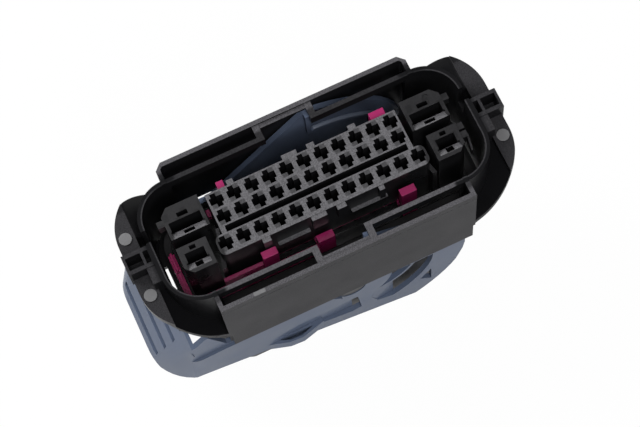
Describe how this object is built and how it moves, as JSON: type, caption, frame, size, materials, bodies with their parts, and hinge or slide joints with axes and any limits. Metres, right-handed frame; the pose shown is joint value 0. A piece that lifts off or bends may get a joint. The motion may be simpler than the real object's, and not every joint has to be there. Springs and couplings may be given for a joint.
{
  "type": "wiring harness connector",
  "caption": "Lever-assisted plug connector for a wiring harness: keyed contact carrier in an oval shroud with end flanges, a magenta secondary lock and a U-shaped mating lever over a wire cover",
  "frame": {"origin": "On the flat underside of the wire cover, below the middle of the contact field", "axes": "+X along the contact rows towards the wire outlet, the lever handle lies at -X; +Y across the rows towards the short rows; +Z out of the mating face"},
  "size_m": [0.0894, 0.0362, 0.0543],
  "materials": {
    "housing_plastic": "fine-textured black moulding",
    "carrier_plastic": "satin black moulding",
    "lock_plastic": "glossy magenta moulding",
    "seal_silicone": "soft matt silicone",
    "mat_silicone": "soft matt silicone",
    "lever_plastic": "satin slate blue-grey moulding"
  },
  "bodies": {
    "connector": {"outer_housing": "housing_plastic", "contact_carrier": "carrier_plastic", "interface_seal": "seal_silicone", "wire_seal": "mat_silicone", "seal_retainer": "carrier_plastic", "wire_cover": "housing_plastic"},
    "lever": {"mate_lever": "lever_plastic"},
    "lock": {"secondary_lock": "lock_plastic"}
  },
  "joints": [
    {"name": "lever_swing", "type": "hinge", "parent": "connector", "child": "lever", "pos_m": [0, 0, 0.0255], "axis": [0, -1, 0], "range_deg": [0, 90]},
    {"name": "lock_press", "type": "slide", "parent": "connector", "child": "lock", "axis": [0, 0, -1], "range_m": [0, 0.0012]}
  ]
}
